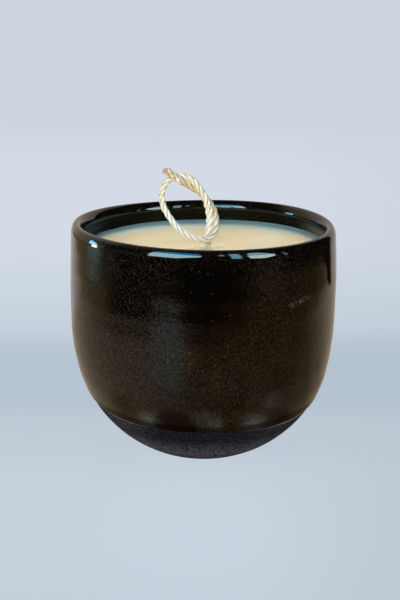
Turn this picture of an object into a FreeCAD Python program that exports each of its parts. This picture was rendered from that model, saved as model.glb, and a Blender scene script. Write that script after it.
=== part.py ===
import FreeCAD, Part
import math
import os

# Container candle in a hand-thrown stoneware jar. Millimetres, +Z up, origin at the
# centre of the foot, on the surface that the jar stands on.
#
# The jar is a round-bottomed pot whose wall is drawn in tangent arcs, so that the glaze,
# the wax and the wall itself are true offsets of one another. A dipped coat of glaze lines
# the inside, goes over the lip and ends in a rolled edge above the bare foot. The wax is
# poured round a wick that a pressed metal tab and an adhesive disc hold to the floor.

# Clay wall
belly_radius = 47.15            # outside of the clay at its widest
belly_height = 47.5
belly_arc_radius = 77.5         # arc just under the belly
bowl_join_height = 30.8         # where that arc runs into the round of the bowl
mouth_radius = 46.25            # outside of the clay where the lip begins
rim_height = 82.4
wall_thickness = 3.15
lip_shoulder_radius = 4.5       # arcs that draw the wall in on both sides of the lip
lip_crest_radius = 1.1          # round of its top
floor_height = 6.5              # clay floor inside, above the ground
floor_radius = 11.05            # flat middle of that floor

# Foot
foot_radius = 20.1
foot_edge_radius = 1.0
foot_ring_width = 4.5
foot_recess_depth = 1.6

# Glaze
glaze_thickness = 0.35
glaze_line_height = 21.4
glaze_bead_height = 1.3         # height of the rolled lower edge
glaze_bead_swell = 0.12         # how far it stands out beyond the coat

# Wax
wax_headspace = 8.5             # from the glazed rim down to the wax
meniscus_rise = 0.3
meniscus_width = 1.2
wick_mound_rise = 0.7
wick_mound_width = 1.9

# Wick and its anchor
wick_diameter = 2.1
wick_x = 1.7
wick_y = -2.5
sticker_diameter = 13.0
sticker_thickness = 0.8
tab_diameter = 15.0
tab_thickness = 0.4
tab_neck_height = 6.0
tab_root_radius = 0.8

# Free end of the wick: points of its route, counted from where it leaves the wax. It
# rises, turns once to the left in a ring, passes in front of its own stem, climbs beside
# it, goes behind the ring and comes out in front of it at the upper left.
wick_route = [
    (0.0, 0.0, 0.0),
    (0.0, 0.0, 2.2),
    (0.1, 0.2, 5.0),
    (0.8, 0.2, 8.6),
    (0.5, -0.5, 12.6),
    (-0.5, -1.2, 16.4),
    (-2.6, -1.6, 20.3),
    (-5.2, -1.4, 23.7),
    (-8.5, -0.4, 25.1),
    (-12.0, 0.1, 24.4),
    (-14.9, 0.1, 22.2),
    (-16.2, 0.0, 18.4),
    (-15.7, -0.1, 14.1),
    (-13.2, -0.3, 9.9),
    (-10.2, -0.6, 6.1),
    (-6.1, -1.3, 3.6),
    (-1.9, -2.5, 2.6),
    (1.3, -2.7, 3.4),
    (2.8, -1.7, 5.9),
    (3.0, 0.1, 9.4),
    (2.1, 1.5, 13.0),
    (-0.2, 2.0, 16.3),
    (-2.8, 1.6, 18.7),
    (-6.0, 0.2, 20.9),
    (-9.5, -2.2, 23.2),
    (-12.6, -3.0, 25.7),
    (-14.6, -2.7, 27.4),
]
cord_arc_share = 0.45           # share of the shorter run that each arc of the cord takes

# Worked out from the sizes above
wax_level = rim_height + glaze_thickness - wax_headspace
wick_radius = wick_diameter / 2
seat_height = floor_height + glaze_thickness
tab_base = seat_height + sticker_thickness
lip_shoulder_reach = lip_shoulder_radius - wall_thickness / 2
lip_turn = math.acos(lip_shoulder_reach / (lip_shoulder_radius - lip_crest_radius))
lip_crest_rise = lip_shoulder_reach * math.tan(lip_turn)
lip_height = rim_height - lip_crest_radius - lip_crest_rise
UP = FreeCAD.Vector(0, 0, 1)
WICK_AXIS = FreeCAD.Vector(wick_x, wick_y, 0)


def flat(r, z):
    """A point of a turned outline: r out from the axis, z up."""
    return FreeCAD.Vector(r, 0, z)


def polar(centre, radius, angle):
    return flat(centre.x + radius * math.cos(angle), centre.z + radius * math.sin(angle))


def arc(centre, radius, low, high):
    """An arc of an outline, between two angles in radians."""
    points = [polar(centre, radius, a) for a in (low, (low + high) / 2, high)]
    return Part.Arc(*points).toShape()


def line(start, end):
    return Part.LineSegment(start, end).toShape()


def turn(edges, axis=FreeCAD.Vector(0, 0, 0)):
    """Revolve a closed outline, drawn about the Z axis, and stand it on the given axis."""
    face = Part.Face(Part.Wire(Part.sortEdges(edges)[0]))
    solid = face.revolve(FreeCAD.Vector(0, 0, 0), UP, 360)
    solid.translate(axis)
    return solid


def wall_arcs():
    """The outer and inner lines of the clay wall, each a list of tangent arcs from the
    bottom up: (centre, radius, low angle, high angle)."""
    belly = flat(belly_radius - belly_arc_radius, belly_height)
    join = math.asin((belly_height - bowl_join_height) / belly_arc_radius)
    start = polar(belly, belly_arc_radius, -join)
    inwards = flat(-math.cos(join), math.sin(join))
    to_foot = flat(foot_radius, 0) - start
    bowl_radius = to_foot.dot(to_foot) / (2 * to_foot.dot(inwards))
    bowl = start + inwards * bowl_radius
    foot = math.atan2(bowl.z, foot_radius - bowl.x)

    rise = lip_height - belly_height
    draw_in = belly_radius - mouth_radius
    upper_radius = (rise ** 2 + draw_in ** 2) / (2 * draw_in)
    upper = flat(belly_radius - upper_radius, belly_height)
    lip = math.asin(rise / (upper_radius - wall_thickness / 2))

    inner_radius = belly_arc_radius - wall_thickness
    floor_edge = flat(floor_radius, floor_height)
    to_floor = floor_edge - belly
    hollow_radius = (inner_radius ** 2 - to_floor.dot(to_floor)) / 2
    hollow_radius /= inner_radius + to_floor.z
    hollow = floor_edge + UP * hollow_radius
    hollow_join = math.atan2(belly.z - hollow.z, hollow.x - belly.x)

    outer = [
        (bowl, bowl_radius, -foot, -join),
        (belly, belly_arc_radius, -join, 0),
        (upper, upper_radius, 0, lip),
    ]
    inner = [
        (hollow, hollow_radius, -math.pi / 2, -hollow_join),
        (belly, inner_radius, -hollow_join, 0),
        (upper, upper_radius - wall_thickness, 0, lip),
    ]
    return outer, inner


OUTER, INNER = wall_arcs()


def clip(arcs, grow, bottom=None, top=None):
    """The arcs of a line, moved out by grow, between two heights."""
    kept = []
    for centre, radius, low, high in arcs:
        radius = radius + grow
        if bottom is not None:
            if polar(centre, radius, high).z <= bottom:
                continue
            if polar(centre, radius, low).z < bottom:
                low = math.asin((bottom - centre.z) / radius)
        if top is not None:
            if polar(centre, radius, low).z >= top:
                continue
            if polar(centre, radius, high).z > top:
                high = math.asin((top - centre.z) / radius)
        kept.append((centre, radius, low, high))
    return kept


def draw(arcs):
    return [arc(*one) for one in arcs]


def first_point(arcs):
    centre, radius, low, _ = arcs[0]
    return polar(centre, radius, low)


def last_point(arcs):
    centre, radius, _, high = arcs[-1]
    return polar(centre, radius, high)


def lip_arcs(grow):
    """The lip: a shoulder on each side, tangent to the wall, and a round crest."""
    upper, radius, _, angle = OUTER[-1]
    base = polar(upper, radius - wall_thickness / 2, angle)
    outer = polar(base, -lip_shoulder_reach, angle)
    inner = polar(base, lip_shoulder_reach, angle)
    crest = polar(base, lip_crest_rise, angle + math.pi / 2)
    shoulder = lip_shoulder_radius + grow
    outer_end = angle + lip_turn
    inner_start = angle + math.pi - lip_turn
    return [
        arc(outer, shoulder, angle, outer_end),
        arc(crest, lip_crest_radius + grow, outer_end, inner_start),
        arc(inner, shoulder, inner_start, angle + math.pi),
    ]


def tangent_arc(start, heading, end):
    """An arc that leaves start along heading and ends at end."""
    chord = end - start
    along = chord.dot(heading)
    half_turn = math.atan2((chord - heading * along).Length, along)
    bulge = chord.Length / 2 * math.tan(half_turn / 2)
    side = (heading * chord.Length ** 2 - chord * along).normalize()
    return Part.Arc(start, (start + end) / 2 + side * bulge, end).toShape()


def foot_outline():
    """The underside: a flat ring round a turned recess with a rounded corner."""
    ring_inside = foot_radius - foot_ring_width
    corner = flat(ring_inside - foot_recess_depth, 0)
    return [
        line(first_point(OUTER), flat(ring_inside, 0)),
        arc(corner, foot_recess_depth, 0, math.pi / 2),
        line(flat(corner.x, foot_recess_depth), flat(0, foot_recess_depth)),
    ]


def stoneware_body():
    edges = draw(OUTER) + lip_arcs(0) + draw(INNER) + foot_outline()
    edges.append(line(first_point(INNER), flat(0, floor_height)))
    edges.append(line(flat(0, floor_height), flat(0, foot_recess_depth)))
    body = turn(edges)
    foot_edges = [
        edge for edge in body.Edges
        if edge.BoundBox.ZMax < 1e-6 and abs(edge.BoundBox.XMax - foot_radius) < 1e-6
    ]
    return body.makeFillet(foot_edge_radius, foot_edges)


def glaze_coat():
    """One skin: over the floor, up the inside, over the lip and down to the glaze line."""
    clay_side = clip(OUTER, 0, bottom=glaze_line_height)
    coat_side = clip(OUTER, glaze_thickness, bottom=glaze_line_height + glaze_bead_height)
    lining = clip(INNER, -glaze_thickness)
    edges = draw(clay_side) + lip_arcs(0) + draw(INNER)
    edges += draw(coat_side) + lip_arcs(glaze_thickness) + draw(lining)

    _, _, line_angle, _ = clay_side[0]
    outwards = polar(flat(0, 0), 1, line_angle)
    bead_foot = first_point(clay_side)
    bead_top = first_point(coat_side)
    bead_middle = (bead_foot + bead_top) / 2
    bead_middle += outwards * (glaze_thickness / 2 + glaze_bead_swell)
    edges.append(Part.Arc(bead_foot, bead_middle, bead_top).toShape())

    edges.append(line(first_point(INNER), flat(0, floor_height)))
    edges.append(line(flat(0, floor_height), flat(0, seat_height)))
    edges.append(line(flat(0, seat_height), first_point(lining)))
    return turn(edges)


def wick_mound():
    """The little cone of wax that is drawn up round the wick, with its root in the fill."""
    outside = flat(wick_radius + wick_mound_width, wax_level)
    top = flat(wick_radius, wax_level + wick_mound_rise)
    root = wax_level - wick_mound_rise
    edges = [
        tangent_arc(outside, flat(-1, 0), top),
        line(top, flat(0, top.z)),
        line(flat(0, top.z), flat(0, root)),
        line(flat(0, root), flat(outside.x, root)),
        line(flat(outside.x, root), outside),
    ]
    return turn(edges, WICK_AXIS)


def wax_fill(cores):
    """The wax: it fills the glazed inside and is cast round the wick, tab and sticker."""
    side = clip(INNER, -glaze_thickness, top=wax_level + meniscus_rise)
    contact = last_point(side)
    flat_end = flat(contact.x - meniscus_width, wax_level)
    edges = draw(side) + [
        tangent_arc(flat_end, flat(1, 0), contact),
        line(flat_end, flat(0, wax_level)),
        line(flat(0, wax_level), flat(0, seat_height)),
        line(flat(0, seat_height), first_point(side)),
    ]
    wax = turn(edges).fuse(wick_mound()).removeSplitter()
    wick_exit = Part.makeCylinder(wick_radius, wick_diameter, WICK_AXIS + UP * wax_level)
    return wax.cut(cores + [wick_exit])


def wick_stem():
    """The straight part of the wick, cast into the wax."""
    return Part.makeCylinder(wick_radius, wax_level - tab_base, WICK_AXIS + UP * tab_base)


def wick_sticker():
    return Part.makeCylinder(
        sticker_diameter / 2, sticker_thickness, WICK_AXIS + UP * seat_height)


def wick_tab():
    """Pressed disc with a neck that is crimped on the wick."""
    disc_top = tab_base + tab_thickness
    neck_top = tab_base + tab_neck_height
    neck_radius = wick_radius + tab_thickness
    tab_radius = tab_diameter / 2
    rim = flat(tab_radius - tab_thickness / 2, tab_base + tab_thickness / 2)
    neck_lip = flat(wick_radius + tab_thickness / 2, neck_top - tab_thickness / 2)
    root = flat(neck_radius + tab_root_radius, disc_top + tab_root_radius)
    edges = [
        line(flat(wick_radius, tab_base), flat(rim.x, tab_base)),
        arc(rim, tab_thickness / 2, -math.pi / 2, math.pi / 2),
        line(flat(rim.x, disc_top), flat(root.x, disc_top)),
        arc(root, tab_root_radius, math.pi, 1.5 * math.pi),
        line(flat(neck_radius, root.z), flat(neck_radius, neck_lip.z)),
        arc(neck_lip, tab_thickness / 2, 0, math.pi),
        line(flat(wick_radius, neck_lip.z), flat(wick_radius, tab_base)),
    ]
    return turn(edges, WICK_AXIS)


def cord_path(points):
    """Straight runs joined by tangent arcs, and the radius of each arc."""
    edges = []
    radii = []
    here = points[0]
    for before, corner, after in zip(points, points[1:], points[2:]):
        back = (before - corner).normalize()
        onwards = (after - corner).normalize()
        cut = cord_arc_share * min((before - corner).Length, (after - corner).Length)
        half_turn = (math.pi - back.getAngle(onwards)) / 2
        radius = cut / math.tan(half_turn)
        inwards = (back + onwards).normalize()
        middle = corner + inwards * (radius / math.cos(half_turn) - radius)
        arc_start = corner + back * cut
        arc_end = corner + onwards * cut
        edges.append(line(here, arc_start))
        edges.append(Part.Arc(arc_start, middle, arc_end).toShape())
        radii.append(radius)
        here = arc_end
    edges.append(line(here, points[-1]))
    return Part.Wire(edges), radii


def wick_loop():
    """The free end of the wick, from the wax surface to its cut end."""
    exit_point = WICK_AXIS + UP * wax_level
    path, radii = cord_path([exit_point + FreeCAD.Vector(*step) for step in wick_route])
    ring = Part.Wire(Part.makeCircle(wick_radius, exit_point, UP))
    tube = path.makePipeShell([ring], True, False)
    section = math.pi * wick_radius ** 2
    print("wick arc radii:", ", ".join("%.1f" % radius for radius in radii))
    print("wick length %.1f, volume %.1f, section x length %.1f"
          % (path.Length, tube.Volume, section * path.Length))
    return tube


def main():
    stem = wick_stem()
    tab = wick_tab()
    sticker = wick_sticker()
    nodes = {
        "stoneware_body": stoneware_body(),
        "glaze_coat": glaze_coat(),
        "wax_fill": wax_fill([stem, tab, sticker]),
        "wick_sticker": sticker,
        "wick_tab": tab,
        "wick_stem": stem,
        "wick_loop": wick_loop(),
    }
    os.makedirs("parts", exist_ok=True)
    for name, shape in nodes.items():
        box = shape.optimalBoundingBox()
        print("%-15s solids %d valid %s volume %9.1f  x %.2f..%.2f y %.2f..%.2f z %.2f..%.2f" % (
            name, len(shape.Solids), shape.isValid(), shape.Volume,
            box.XMin, box.XMax, box.YMin, box.YMax, box.ZMin, box.ZMax))
        shape.exportStep("parts/%s.step" % name)


main()
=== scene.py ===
import math
import random

import bpy
from mathutils import Matrix, Vector, noise


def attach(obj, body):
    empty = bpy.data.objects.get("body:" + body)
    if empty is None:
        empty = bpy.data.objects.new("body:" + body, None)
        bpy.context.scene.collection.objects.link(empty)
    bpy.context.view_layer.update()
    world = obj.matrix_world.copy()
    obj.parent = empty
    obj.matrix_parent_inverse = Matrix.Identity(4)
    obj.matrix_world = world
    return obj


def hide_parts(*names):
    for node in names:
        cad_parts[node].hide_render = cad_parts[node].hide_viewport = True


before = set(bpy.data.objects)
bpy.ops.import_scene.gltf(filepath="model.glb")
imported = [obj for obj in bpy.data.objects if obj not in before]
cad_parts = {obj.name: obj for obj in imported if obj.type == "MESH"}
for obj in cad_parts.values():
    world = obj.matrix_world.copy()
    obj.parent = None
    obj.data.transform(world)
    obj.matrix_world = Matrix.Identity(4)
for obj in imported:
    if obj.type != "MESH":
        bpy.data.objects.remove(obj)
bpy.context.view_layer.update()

# Looks of the container candle. Metres, +Z up, the jar stands on z = 0 about the Z axis
# and the camera looks along +Y.
MM = 0.001

# Jar wall: tangent arcs, as in the CAD model
BELLY_RADIUS = 47.15 * MM
BELLY_HEIGHT = 47.5 * MM
BELLY_ARC_RADIUS = 77.5 * MM
BOWL_JOIN_HEIGHT = 30.8 * MM
MOUTH_RADIUS = 46.25 * MM
RIM_HEIGHT = 82.4 * MM
WALL = 3.15 * MM
LIP_SHOULDER = 4.5 * MM
LIP_CREST = 1.1 * MM
FLOOR_HEIGHT = 6.5 * MM
FLOOR_RADIUS = 11.05 * MM
FOOT_RADIUS = 20.1 * MM
FOOT_EDGE = 1.0 * MM
FOOT_RING = 4.5 * MM
FOOT_RECESS = 1.6 * MM
LIP_REACH = LIP_SHOULDER - WALL / 2
LIP_TURN = math.acos(LIP_REACH / (LIP_SHOULDER - LIP_CREST))
LIP_RISE = LIP_REACH * math.tan(LIP_TURN)
LIP_HEIGHT = RIM_HEIGHT - LIP_CREST - LIP_RISE

# Glaze
GLAZE = 0.35 * MM
GLAZE_LINE = 21.4 * MM
GLAZE_LINE_TILT = 1.2 * MM    # how far the dipped edge runs out of level
GLAZE_LINE_DROP = 0.5 * MM    # how much lower it is than in the CAD
GLAZE_LINE_DIP = 1.2 * MM     # how much further it hangs at the diagonals
GLAZE_LINE_WAVE = 0.25 * MM
BEAD_HEIGHT = 1.3 * MM
BEAD_SWELL = 0.12 * MM

# Unevenness of a thrown pot. Rim waves: how often round, how high, where the top is.
RIM_WAVES = [(1, 0.52 * MM, 193), (2, 0.36 * MM, 31), (3, 0.15 * MM, 43)]
RIM_START = 45 * MM           # height from which the wall follows the rim
BOWL_LEAN = 0.33 * MM         # how far the bowl stands off to the right
LEAN_HEIGHT = 25 * MM         # the bowl leans more and more over this height
SIDE_PUSH = 0.23 * MM         # the right side: full near the rim, flat under the belly
SIDE_START = 20 * MM          # the heights between which the right side is uneven
SIDE_END = 80 * MM
MOUTH_PUSH = 0.35 * MM        # the left side of the mouth is drawn in
LIP_ROLL = 0.62 * MM          # the back of the lip swells inwards, over this height
ROLL_HEIGHT = 2.9 * MM
RING_DEPTH = 0.05 * MM        # finger rings
RING_PITCH = 7.5 * MM
RING_FADE = 4 * MM            # they die out over this height under the lip

# Wax
WAX_LEVEL = RIM_HEIGHT + GLAZE - 8.5 * MM
MENISCUS_RISE = 0.3 * MM
MENISCUS_WIDTH = 1.2 * MM
MOUND_RISE = 0.8 * MM
MOUND_WIDTH = 1.4 * MM
WAX_UNEVEN = 0.08 * MM
WAX_CALM = 42 * MM            # the unevenness has died out this far from the axis
WAX_TILT = 0.6 * MM           # the wax set higher on the right
# Drips of wax in front of the wick: place from the wick, radius and height in millimetres
DRIPS = [(-2.6, -1.7, 1.1, 0.65), (-1.2, -2.3, 1.1, 0.75), (0.2, -2.1, 0.9, 0.65),
         (3.6, -1.6, 1.0, 0.65), (4.8, -2.0, 0.8, 0.5), (-3.9, -1.0, 0.9, 0.5)]

# Wick: a rope of three strands. Its route is in millimetres from where it leaves the wax.
WICK_RADIUS = 1.05 * MM
WICK_EXIT = Vector((1.7 * MM, -2.5 * MM, WAX_LEVEL))
ROPE_STEP = 0.25 * MM         # from one ring of points to the next
STRANDS = 3
STRAND_RADIUS = 0.62 * MM
STRAND_PITCH = 8.7 * MM
STRAND_POINTS = 22            # round one strand
YARN_RIDGES = 7               # yarns that show round one strand
YARN_PITCH = 4.2 * MM
CREVICE = 0.70                # bottom of the crevices, as a share of the rope's radius
CUT_BACK = 0.8 * MM           # the strands stop short of the loose yarns' ends
CUT_STAGGER = 0.25 * MM       # each strand stops this much before the one before it
LOOSE_YARNS = 8               # frayed ends of each strand
YARN_RADIUS = 0.17 * MM
YARN_SPREAD = 0.4 * MM
YARN_LENGTH = 1.7 * MM
YARN_EXTRA = 0.9 * MM         # and up to this much more
YARN_DROOP = (0.5, 0, 0.8)    # they bend away from this direction
TIP_TOP = 102.2 * MM          # no yarn ends higher than this
# How thick the rope is along its length: slack as it leaves the wax, tight round the ring
GIRTH = [(0, 1.1), (4, 1.3), (14, 1.3), (20, 1.12), (30, 1.08), (60, 1.04), (69, 1.1),
         (90, 1.06), (101, 1.2)]
WICK_ROUTE = [
    (0.0, 0.0, 0.0), (0.0, 0.0, 2.2), (0.1, 0.2, 5.0),
    (0.8, 0.2, 8.6), (0.5, -0.5, 12.6), (-0.5, -1.2, 16.4),
    (-2.6, -1.6, 20.3), (-5.2, -1.4, 23.7), (-8.5, -0.4, 25.1),
    (-12.0, 0.1, 24.4), (-14.9, 0.1, 22.2), (-16.2, 0.0, 18.4),
    (-15.7, -0.1, 14.1), (-13.2, -0.3, 9.9), (-10.2, -0.6, 6.1),
    (-6.1, -1.3, 3.6), (-1.9, -2.5, 2.6), (1.3, -2.7, 3.4),
    (2.8, -1.7, 5.9), (3.0, 0.1, 9.4), (2.1, 1.5, 13.0),
    (-0.2, 2.0, 16.3), (-2.8, 1.6, 18.7), (-6.0, 0.2, 20.9),
    (-9.5, -2.2, 23.2), (-12.6, -3.0, 25.7), (-14.6, -2.7, 27.4),
]

# Camera
CAMERA_PLACE = Vector((-1.05 * MM, -0.280, 0.1394))
CAMERA_PITCH = 17.06          # degrees below level
CAMERA_LENS = 48.29

SEGMENTS = 192                # round the jar


# ---- turned outlines

def smooth(t):
    """0 to 1 with a soft start and end."""
    t = min(1, max(0, t))
    return t * t * (3 - 2 * t)


def polar(centre, radius, angle):
    return centre + Vector((math.cos(angle), math.sin(angle))) * radius


def wall_arcs():
    """Outer and inner line of the clay wall, as (centre, radius, low, high) from the bottom
    up. Points are (distance from the axis, height)."""
    belly = Vector((BELLY_RADIUS - BELLY_ARC_RADIUS, BELLY_HEIGHT))
    join = math.asin((BELLY_HEIGHT - BOWL_JOIN_HEIGHT) / BELLY_ARC_RADIUS)
    start = polar(belly, BELLY_ARC_RADIUS, -join)
    inwards = Vector((-math.cos(join), math.sin(join)))
    to_foot = Vector((FOOT_RADIUS, 0)) - start
    bowl_radius = to_foot.dot(to_foot) / (2 * to_foot.dot(inwards))
    bowl = start + inwards * bowl_radius
    foot = math.atan2(bowl.y, FOOT_RADIUS - bowl.x)

    rise = LIP_HEIGHT - BELLY_HEIGHT
    draw_in = BELLY_RADIUS - MOUTH_RADIUS
    upper_radius = (rise ** 2 + draw_in ** 2) / (2 * draw_in)
    upper = Vector((BELLY_RADIUS - upper_radius, BELLY_HEIGHT))
    lip = math.asin(rise / (upper_radius - WALL / 2))

    inner_radius = BELLY_ARC_RADIUS - WALL
    floor_edge = Vector((FLOOR_RADIUS, FLOOR_HEIGHT))
    to_floor = floor_edge - belly
    hollow_radius = (inner_radius ** 2 - to_floor.dot(to_floor)) / 2
    hollow_radius /= inner_radius + to_floor.y
    hollow = floor_edge + Vector((0, hollow_radius))
    hollow_join = math.atan2(belly.y - hollow.y, hollow.x - belly.x)

    outer = [
        (bowl, bowl_radius, -foot, -join),
        (belly, BELLY_ARC_RADIUS, -join, 0),
        (upper, upper_radius, 0, lip),
    ]
    inner = [
        (hollow, hollow_radius, -math.pi / 2, -hollow_join),
        (belly, inner_radius, -hollow_join, 0),
        (upper, upper_radius - WALL, 0, lip),
    ]
    return outer, inner


OUTER, INNER = wall_arcs()


def trace(arcs, grow, step, bottom=None, top=None):
    """Points along the arcs of a line, moved out by grow, between two heights. An arc that
    is cut short keeps its number of points."""
    points = []
    for centre, radius, low, high in arcs:
        radius = radius + grow
        count = max(2, round(radius * (high - low) / step))
        if bottom is not None:
            if polar(centre, radius, high).y <= bottom:
                continue
            if polar(centre, radius, low).y < bottom:
                low = math.asin((bottom - centre.y) / radius)
        if top is not None:
            if polar(centre, radius, low).y >= top:
                continue
            if polar(centre, radius, high).y > top:
                high = math.asin((top - centre.y) / radius)
        points += [polar(centre, radius, low + (high - low) * i / count)
                   for i in range(bool(points), count + 1)]
    return points


def lip_points(grow, count):
    """The lip, from the outside to the inside: a shoulder, the crest, the other shoulder."""
    upper, radius, _, angle = OUTER[-1]
    base = polar(upper, radius - WALL / 2, angle)
    crest = polar(base, LIP_RISE, angle + math.pi / 2)
    outer_end = angle + LIP_TURN
    inner_start = angle + math.pi - LIP_TURN
    arcs = [
        (polar(base, -LIP_REACH, angle), LIP_SHOULDER + grow, angle, outer_end),
        (crest, LIP_CREST + grow, outer_end, inner_start),
        (polar(base, LIP_REACH, angle), LIP_SHOULDER + grow, inner_start, angle + math.pi),
    ]
    return [polar(centre, radius, low + (high - low) * i / count)
            for centre, radius, low, high in arcs for i in range(1, count + 1)][:-1]


def bow(start, end, sagitta, count):
    """Points of a shallow arc between two points, bulging to the right of its way."""
    along = end - start
    side = Vector((along.y, -along.x)).normalized()
    return [start + along * t + side * sagitta * 4 * t * (1 - t)
            for t in (i / count for i in range(1, count))]


def lathe(name, outline_at, bend):
    """A closed turned mesh. outline_at(angle) gives the half outline, from axis to axis, and
    bend(point) moves a finished point a little."""
    rows = []
    for i in range(SEGMENTS):
        angle = math.tau * i / SEGMENTS
        turn = Matrix.Rotation(angle, 3, "Z")
        rows.append([bend(turn @ Vector((p.x, 0, p.y))) for p in outline_at(angle)])
    count = len(rows[0])
    verts = [rows[0][0], rows[0][-1]]
    for row in rows:
        verts += row[1:-1]
    width = count - 2
    faces = []
    for i in range(SEGMENTS):
        here = 2 + i * width
        there = 2 + (i + 1) % SEGMENTS * width
        faces.append((0, there, here))
        faces.append((1, here + width - 1, there + width - 1))
        for k in range(width - 1):
            faces.append((here + k, there + k, there + k + 1, here + k + 1))
    mesh = new_mesh(name, verts, faces)
    mesh.validate()
    return finish_mesh(mesh)


def new_mesh(name, verts, faces):
    mesh = bpy.data.meshes.new(name)
    mesh.from_pydata([tuple(v) for v in verts], [], faces)
    return mesh


def keep(mesh, name, values, kind="FLOAT", field="value"):
    """Keep a value for each point of the mesh, for its material."""
    mesh.attributes.new(name, kind, "POINT").data.foreach_set(field, values)


def put(name, data):
    """A new object in the scene."""
    thing = bpy.data.objects.new(name, data)
    bpy.context.scene.collection.objects.link(thing)
    return thing


def finish_mesh(mesh):
    """Shade the mesh smooth apart from its corners, and put it in the scene."""
    for polygon in mesh.polygons:
        polygon.use_smooth = True
    mesh.set_sharp_from_angle(angle=math.radians(40))
    return put(mesh.name, mesh)


# ---- jar and wax

def glaze_line_height(angle):
    """The dipped edge isn't quite level, and wavers a little."""
    wave = noise.noise(Vector((math.cos(angle), math.sin(angle), 0)) * 1.7)
    tilt = GLAZE_LINE_TILT * math.cos(angle - math.pi)
    low = GLAZE_LINE_DROP + GLAZE_LINE_DIP * math.sin(2 * angle) ** 2
    return GLAZE_LINE + tilt - low + GLAZE_LINE_WAVE * wave


def rolled(point, share):
    """The inside of the lip swells over the mouth, and eases back to the wall below it."""
    down = min(1, max(0, (RIM_HEIGHT - point.y) / ROLL_HEIGHT))
    top = 1 - (1 - down) ** 2
    foot = smooth((point.y - RIM_HEIGHT + 2.3 * ROLL_HEIGHT) / (1.3 * ROLL_HEIGHT))
    return point - Vector((LIP_ROLL * share * top * foot, 0))


def glaze_outline(angle):
    """From the middle of the floor, up the lining, over the lip, down to the rolled edge and
    back beside the clay."""
    line = glaze_line_height(angle)
    step = 1.2 * MM
    lining = trace(INNER, -GLAZE, step)
    share = smooth(0.5 + 1.3 * math.sin(angle))
    arc_points = 12
    lip = lip_points(GLAZE, arc_points)[::-1]
    inside = [rolled(p, share) for p in lining + lip[:arc_points + 1]]
    coat = trace(OUTER, GLAZE, step, bottom=line + BEAD_HEIGHT)
    clay = trace(OUTER, 0, 4 * step, bottom=line)
    floor = [Vector((FLOOR_RADIUS * t, FLOOR_HEIGHT + GLAZE)) for t in (0, 0.5)]
    back = [Vector((FLOOR_RADIUS * t, FLOOR_HEIGHT)) for t in (0.5, 0)]
    bead = bow(coat[0], clay[0], GLAZE / 2 + BEAD_SWELL, 8)
    points = floor + inside + lip[arc_points + 1:] + coat[::-1] + bead + clay
    return points + lip_points(0, 4) + trace(INNER, 0, 4 * step)[::-1] + back


def clay_outline(_):
    """From the floor of the inside, over the lip, down to the foot ring and its recess."""
    step = 1.5 * MM
    inside = [Vector((0, FLOOR_HEIGHT))] + trace(INNER, 0, step)
    outside = trace(OUTER, 0, step)[::-1]
    corner = Vector((FOOT_RADIUS, 0))
    up = (outside[-2] - corner).normalized()
    edge = [corner + up * FOOT_EDGE / 2 * (1 - t) ** 2 - Vector((FOOT_EDGE / 2 * t ** 2, 0))
            for t in (0, 0.25, 0.5, 0.75, 1)]
    ring_inside = FOOT_RADIUS - FOOT_RING
    hollow = Vector((ring_inside - FOOT_RECESS, 0))
    recess = [polar(hollow, FOOT_RECESS, math.pi / 2 * i / 6) for i in range(7)]
    lip = lip_points(0, 6)[::-1]
    return inside + lip + outside[:-1] + edge + recess + [Vector((0, FOOT_RECESS))]


def lean(point):
    return point + Vector((BOWL_LEAN * smooth((RIM_START - point.z) / LEAN_HEIGHT), 0, 0))


def hand_thrown(point):
    """Finger rings that climb round the wall, a waving rim, uneven sides and a bowl that
    stands off to the right."""
    radius = point.xy.length
    angle = math.atan2(point.y, point.x)
    up = (point.z - RIM_START) / (RIM_HEIGHT - RIM_START)
    rise = max(0, up) * sum(height * math.cos(count * (angle - math.radians(top)))
                            for count, height, top in RIM_WAVES)
    turns = (point.z - SIDE_START) / (SIDE_END - SIDE_START)
    push = -SIDE_PUSH * math.sin(math.tau * min(1, max(0, turns)))
    push *= max(0, point.x) / BELLY_RADIUS
    push -= MOUTH_PUSH * smooth(up * 1.6 - 0.5) * min(0, point.x) / BELLY_RADIUS
    moved = lean(point) + Vector((push, 0, rise))
    if radius < FLOOR_RADIUS or point.z > LIP_HEIGHT:
        return moved
    ring = math.sin(math.tau * point.z / RING_PITCH + angle)
    slow = noise.noise(point * 45)
    depth = RING_DEPTH * smooth((LIP_HEIGHT - point.z) / RING_FADE) * (0.5 * ring + slow)
    moved -= Vector((point.x, point.y, 0)) / radius * depth
    widest = (BELLY_RADIUS + GLAZE) / max(BELLY_RADIUS + GLAZE, moved.xy.length)
    return Vector((moved.x * widest, moved.y * widest, moved.z))


def glaze_skin():
    """The glaze, with each point's height above the glaze line."""
    thing = lathe("glaze_skin", glaze_outline, hand_thrown)
    keep(thing.data, "above_line",
         [v.co.z - glaze_line_height(math.atan2(v.co.y, v.co.x)) for v in thing.data.vertices])
    return thing


def clay_pot():
    return lathe("clay_pot", clay_outline, hand_thrown)


def wax_outline(_):
    """From the middle of the surface, up the meniscus, and down the glazed wall to the floor."""
    step = 1.5 * MM
    side = trace(INNER, -GLAZE, step, top=WAX_LEVEL + MENISCUS_RISE)
    inner = side[-1].x - MENISCUS_WIDTH
    flat = [Vector((inner * (i / 90) ** 1.5, WAX_LEVEL)) for i in range(90)]
    meniscus = [Vector((inner + MENISCUS_WIDTH * t, WAX_LEVEL + MENISCUS_RISE * t ** 2))
                for t in (i / 8 for i in range(8))]
    under = [Vector((0, FLOOR_HEIGHT + GLAZE))]
    return flat + meniscus + side[::-1] + under


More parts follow.
